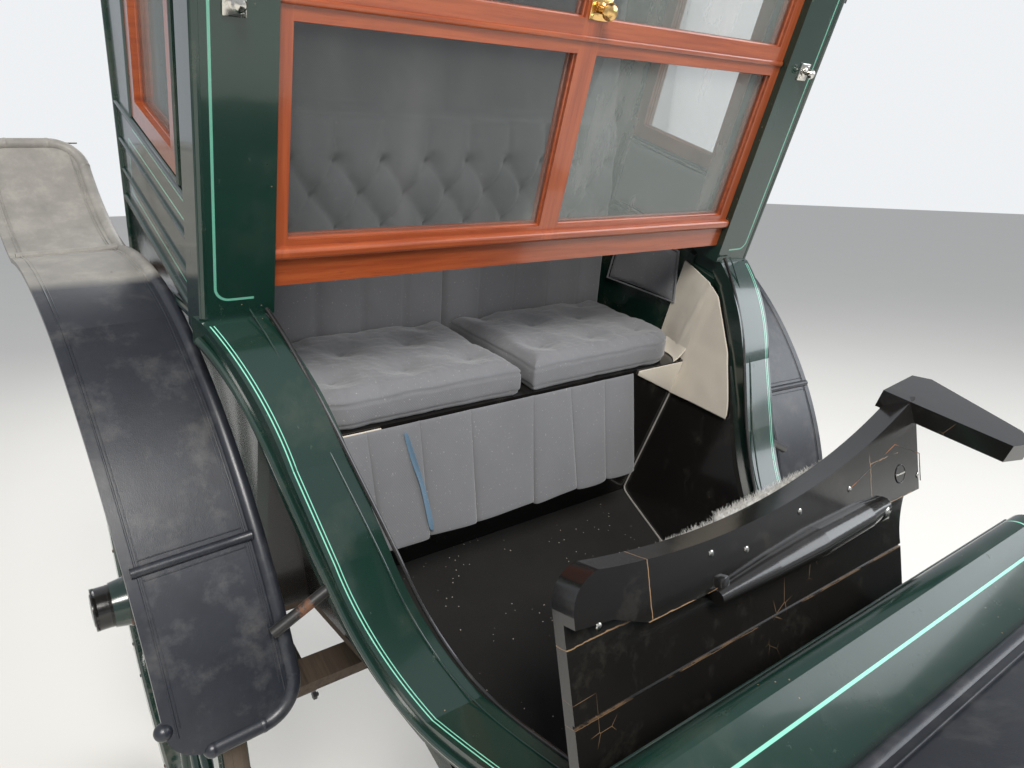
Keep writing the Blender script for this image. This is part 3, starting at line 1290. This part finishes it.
wingTrees = {}
for side, sign in (("left", 1), ("right", -1)):
    shell = nodes["wing_" + side].data.copy()
    shell.transform(levelToWorld.inverted())
    wingTrees[sign] = BVHTree.FromPolygons([v.co for v in shell.vertices], [tuple(f.vertices) for f in shell.polygons])
    bars = []
    for angle, radius in ((51.0, 7.5), (104.5, 7.5)):
        line = [onWing(across, angle, 1.5, sign) for across in (-84, -60, -30, 0, 30, 60, 84)]
        line = [spot for spot in line if spot]
        bars.append(tube(line, radius))
        for shift in (-1.1, 1.1):
            stitched = [onWing(across, angle + shift, 0.4, sign) for across in range(-72, 73, 12)]
            bars.append(tube([spot for spot in stitched if spot], 1.0))
    for across in (-76, 76):
        seam = [onWing(across, angle, 0.3, sign) for angle in [33 + 3.2 * k for k in range(30)]]
        bars.append(tube([spot for spot in seam if spot], 1.5))
    for across in (-71, 71):
        seam = [onWing(across, angle, 0.2, sign) for angle in [34 + 3.2 * k for k in range(29)]]
        bars.append(tube([spot for spot in seam if spot], 0.8))
    settle(bars, "wingSeams" + side.title(), "leatherWing", smooth=60)

riseA = radians(42.0)
seams = []
for off, size in ((26, 1.4), (214, 1.4)):
    x, z = 934 + off * cos(riseA), -214 + off * sin(riseA)
    seams.append(tube([(x - 6.2 * sin(riseA), -560, z + 6.2 * cos(riseA)), (x - 6.2 * sin(riseA), 560, z + 6.2 * cos(riseA))], size, curved=False))
settle(seams, "dashSeams", "leatherDash")
print("stage: leather")


# Knee flap: lock plate, slotted bolt, screws and the grip's ferrule
def onFlap(u, v, out):
    place = flapFrame @ Vector((u / 1000, v / 1000, out / 1000))
    return place * 1000


flapTurn = (flapFrame.to_3x3()).to_euler()


def flapBlock(u0, u1, v0, v1, out0, out1, bevel):
    piece = joined([block((u0, v0, out0), (u1, v1, out1), bevel)])
    piece.data.transform(flapFrame)
    return piece


def flapRound(profile, u, v, out, sides=24):
    piece = joined([lathed(profile, (u, v, out), "Z", sides)])
    piece.data.transform(flapFrame)
    return piece


disc = flapRound([(17, 0), (17, 1.2), (15.5, 1.8), (14.5, 1.0), (2, 1.0), (0.4, 1.0)], 355, 279, 21.6, 36)
plateLine = joined([tube([(190, 290, 22), (342, 334, 22), (424, 300, 22), (424, 250, 22)], 0.8, curved=False)])
plateLine.data.transform(flapFrame)
settle([disc], "lockBolt", "blackPaint", "knee_flap")
settle([plateLine], "lockPlateEdge", "paintCrack", "knee_flap")
slotMark = flapBlock(340, 370, 277.4, 280.6, 22.2, 23.4, 0.5)
screws = [flapRound([(5, 0), (5, 1.0), (3.5, 1.9), (0.4, 2.1)], u, v, 21.8, 16) for u, v in ((-144, 289), (-70, 272), (196, 292), (414, 262), (-352, 262), (60, 292))]
ferrule = flapRound([(17, 0), (18, 2), (18, 14), (15, 16), (11, 24), (9, 27), (0.5, 27.5)], 0, 0, 0, 28)
ferrule.data.transform(flapFrame.inverted())
ferrule.data.transform(Matrix.Rotation(radians(90), 4, "Y"))
ferrule.data.transform(Matrix.Translation((0.262, 0.236, 0.026)))
ferrule.data.transform(flapFrame)
settle([slotMark, ferrule] + screws, "flapFittings", "nickel", "knee_flap")
brackets = []
for u in (-128, 292):
    brackets.append(flapBlock(u - 9, u + 9, 214, 252, 1, 30, 3.0))
settle(brackets, "gripBrackets", "blackPaint", "knee_flap")


def flapFur():  # short fibres along the plush's top edge
    rng = random.Random(7)
    pickNothing()
    bpy.ops.mesh.primitive_cone_add(vertices=3, radius1=0.00045, radius2=0.00012, depth=1.0, end_fill_type="TRIFAN")
    seed = bpy.context.object
    corners = [v.co.copy() for v in seed.data.vertices]
    faces = [tuple(f.vertices) for f in seed.data.polygons]
    bpy.data.objects.remove(seed)
    points, sides = [], []
    box = [v.co for v in plush.data.vertices]
    inverse = (levelToWorld @ flapFrame).inverted()
    local = [inverse @ c for c in box]
    tops = [c for c in local if c.y > 0.286]
    for strand in range(5200):
        root = rng.choice(tops)
        length = rng.uniform(0.004, 0.011)
        way = Vector((rng.gauss(0, 0.55), 1.0, rng.gauss(0, 0.5))).normalized()
        turn = way.to_track_quat("Z", "Y").to_matrix()
        first = len(points)
        for corner in corners:
            points.append(root + turn @ Vector((corner.x, corner.y, (corner.z + 0.5) * length)))
        sides += [tuple(first + i for i in face) for face in faces]
    mesh = bpy.data.meshes.new("furMesh")
    mesh.from_pydata([tuple(p) for p in points], [], sides)
    piece = bpy.data.objects.new("plushFibres", mesh)
    bpy.context.scene.collection.objects.link(piece)
    piece.data.transform(levelToWorld @ flapFrame)
    return piece


settle(flapFur(), "plushFibres", "greyPlush", "knee_flap", smooth=0, level=False)
print("stage: knee flap")

# Dash: a bead under its edge, and screws
settle([tube([(779, -590, -262), (779, 590, -262)], 4.0, curved=False), tube([(1010, -590, -208), (1010, 590, -208)], 5.0, curved=False),
        tube([(779, -586, -700), (779, -586, -275)], 4.0, curved=False), tube([(779, 586, -700), (779, 586, -275)], 4.0, curved=False)],
       "dashBeads", "greenPanels")


# Wheels: hub bands, felloe bolts, spoke collars and a stripe on each spoke
def wheelPlace(radius, angle, y):
    return (-268 + radius * cos(radians(angle)), y, -940 + radius * sin(radians(angle)))


def hubBands():
    centre = (-268, 0, -940)
    made = []
    for radius, y, size in ((55.5, 742, 3.5), (84.5, 642, 4.0), (84.5, 702, 4.0), (53, 606, 3.5)):
        made.append(tube([wheelPlace(radius, a, y) for a in range(0, 360, 10)], size, closed=True))
    return made


def hubNut():
    cap = lathed([(47.4, 0), (47.6, 6), (45.5, 9), (45.5, 27), (47.6, 30), (47.6, 36.5)], (-268, 776.2, -940), "Y", 40)
    face = lathed([(36, 0), (36, 1.0), (34, 2.0), (22, 2.4), (20, 1.4), (0.5, 1.4)], (-268, 813, -940), "Y", 40)
    return [cap, face]


def felloeBolts():
    made = []
    for k in range(14):
        for shift in (-8.5, 8.5):
            spot = wheelPlace(626, 360 / 14 * k + shift, 710.5)
            made.append(dome(spot, 5.0, "Y", 3.0, 10))
            inner = wheelPlace(626, 360 / 14 * k + shift, 665.5)
            made.append(nut(inner, 5.5, "-Y", 4.0))
    return made


for make, name, finish in ((hubBands, "hubBands", "ironPaint"), (hubNut, "hubNut", "blackPaint"), (felloeBolts, "felloeBolts", "ironPaint")):
    for side, piece in zip(("left", "right"), both(make)):
        settle(piece, name + side.title(), finish, "wheel_" + side)


def treadMarks():  # shallow wear ribs round the rubber
    return [tube([wheelPlace(679.2, a, 688 + y) for a in range(0, 360, 6)], 1.3, closed=True, sides=1) for y in (-7, 0, 7)]


for side, piece in zip(("left", "right"), both(treadMarks)):
    settle(piece, "tyreRibs" + side.title(), "dustyRubber", "wheel_" + side)
print("stage: wheels")


# Springs, axle and steps
def springFittings():
    made = []
    for x in (-268 - 24, -268 + 24):
        for y in (505 - 33, 505 + 33):
            made.append(tube([(x, y, -982), (x, y, -862)], 6.0, curved=False))
            made.append(nut((x, y, -868), 10, "Z", 9))
        made.append(tube([(x, 472, -970), (x, 538, -970)], 6.0, curved=False))
    made.append(block((-304, 466, -972), (-232, 544, -964), 2.0))
    for x in (-268 - 430, -268 + 430):
        made.append(lathed([(8, 0), (8, 4), (5, 5), (0.5, 5)], (x, 530, -899.5), "Y", 16))
        made.append(nut((x, 480, -899.5), 9, "-Y", 7))
        made.append(block((x - 20, 484, -842), (x + 20, 526, -834), 2.0))
        made.append(dome((x - 0.0, 505, -834), 5, "Z"))
    for x in (-268 - 250, -268 + 250):
        made.append(block((x - 9, 477, -920), (x + 9, 533, -868), 2.5))
    return made


settle(both(springFittings), "springFittings", "ironPaint")


def axleCollars():
    made = [lathed([(41, 0), (43, 3), (43, 9), (40, 12)], (-268, 585, -940), "Y", 32)]
    made.append(block((-300, 330, -920), (-236, 350, -906), 2.0))
    return made


settle(both(axleCollars), "axleCollars", "ironPaint")


def stepTreads():
    made = [tube([(812 + k * 20, 560, -1089), (812 + k * 20, 660, -1089)], 1.8, curved=False, sides=1) for k in range(10)]
    made += [dome((835, 610, -1090), 5.0), dome((862, 590, -1090), 4.0), dome((862, 630, -1090), 4.0)]
    return made


settle(both(stepTreads), "stepTreads", "ironPaint")


# Shafts: staples, a tug stop, a strap plate and a worn leather sleeve
def shaftPoint(x):
    swing = (340 - 315) / (2950 - 850)
    return 340 - (x - 850) * swing


def shaftFittings():
    made = []
    for x in (1980, 2260):
        y = shaftPoint(x)
        made.append(block((x - 34, y - 7, -497), (x + 34, y + 7, -492), 1.6))
        made.append(tube([(x - 22, y, -496), (x - 22, y, -474), (x + 22, y, -474), (x + 22, y, -496)], 4.2))
        made += [dome((x - 29, y, -492.5), 3.2), dome((x + 29, y, -492.5), 3.2)]
    x = 2480
    y = shaftPoint(x)
    made.append(tube([(x - 26, y + 24, -520), (x - 10, y + 46, -520), (x + 14, y + 46, -520), (x + 26, y + 24, -520)], 5.0))
    for x in (2905, 2935):
        made.append(tube([(x, shaftPoint(x) + 23.5 * cos(radians(a)), -520 + 23.5 * sin(radians(a))) for a in range(0, 360, 20)], 2.2, closed=True))
    for x in (700, 760, 830):
        made.append(nut((x, 340, -757), 9, "Z", 4))
        made.append(nut((x, 363.2, -780), 9, "Y", 7))
    return made


settle(both(shaftFittings), "shaftFittings", "ironPaint")


def shaftSleeve():
    made = []
    for x0, x1 in ((2080, 2170), (2560, 2640)):
        made.append(lathed([(24.4, 0), (25.6, 2), (26.0, 20), (25.4, (x1 - x0) / 2), (26.0, x1 - x0 - 20), (25.6, x1 - x0 - 2), (24.4, x1 - x0)],
                           (x0, shaftPoint((x0 + x1) / 2), -520), "X", 28))
    return made


settle(both(shaftSleeve), "shaftSleeves", "leatherDash")
print("stage: running gear")

# Driver's place: cushion welts, bolts, footboard battens and the seat's back rest pad
settle([tube([(-1084, -196, 566), (-836, -196, 566), (-836, 196, 566), (-1084, 196, 566)], 3.0, closed=True, curved=False)], "driverCushionWelt", "leatherSeat")
driver = [tube([(-1128 + 3, -238, 532), (-792, -238, 532), (-792, 238, 532), (-1125, 238, 532)], 4.0, closed=True, curved=False)]
driver += [tube([(-872, y, 71.5), (backX(60) - 6, y, 71.5)], 2.4, curved=False, sides=1) for y in range(-270, 271, 36)]
settle(driver, "driverBattens", "blackPaint")
bolts = [dome((x, y, 544), 4.5) for x in (-1100, -820) for y in (-200, 200)]
bolts += [nut((-893, y, 34), 9, "-Z", 7) for y in (-280, -100, 100, 280)]
bolts += [nut((x, y, -709), 9, "-Z", 7) for x in (-706,) for y in (-332, 332)]
settle(bolts, "driverBolts", "ironPaint")
print("stage: driver's place")
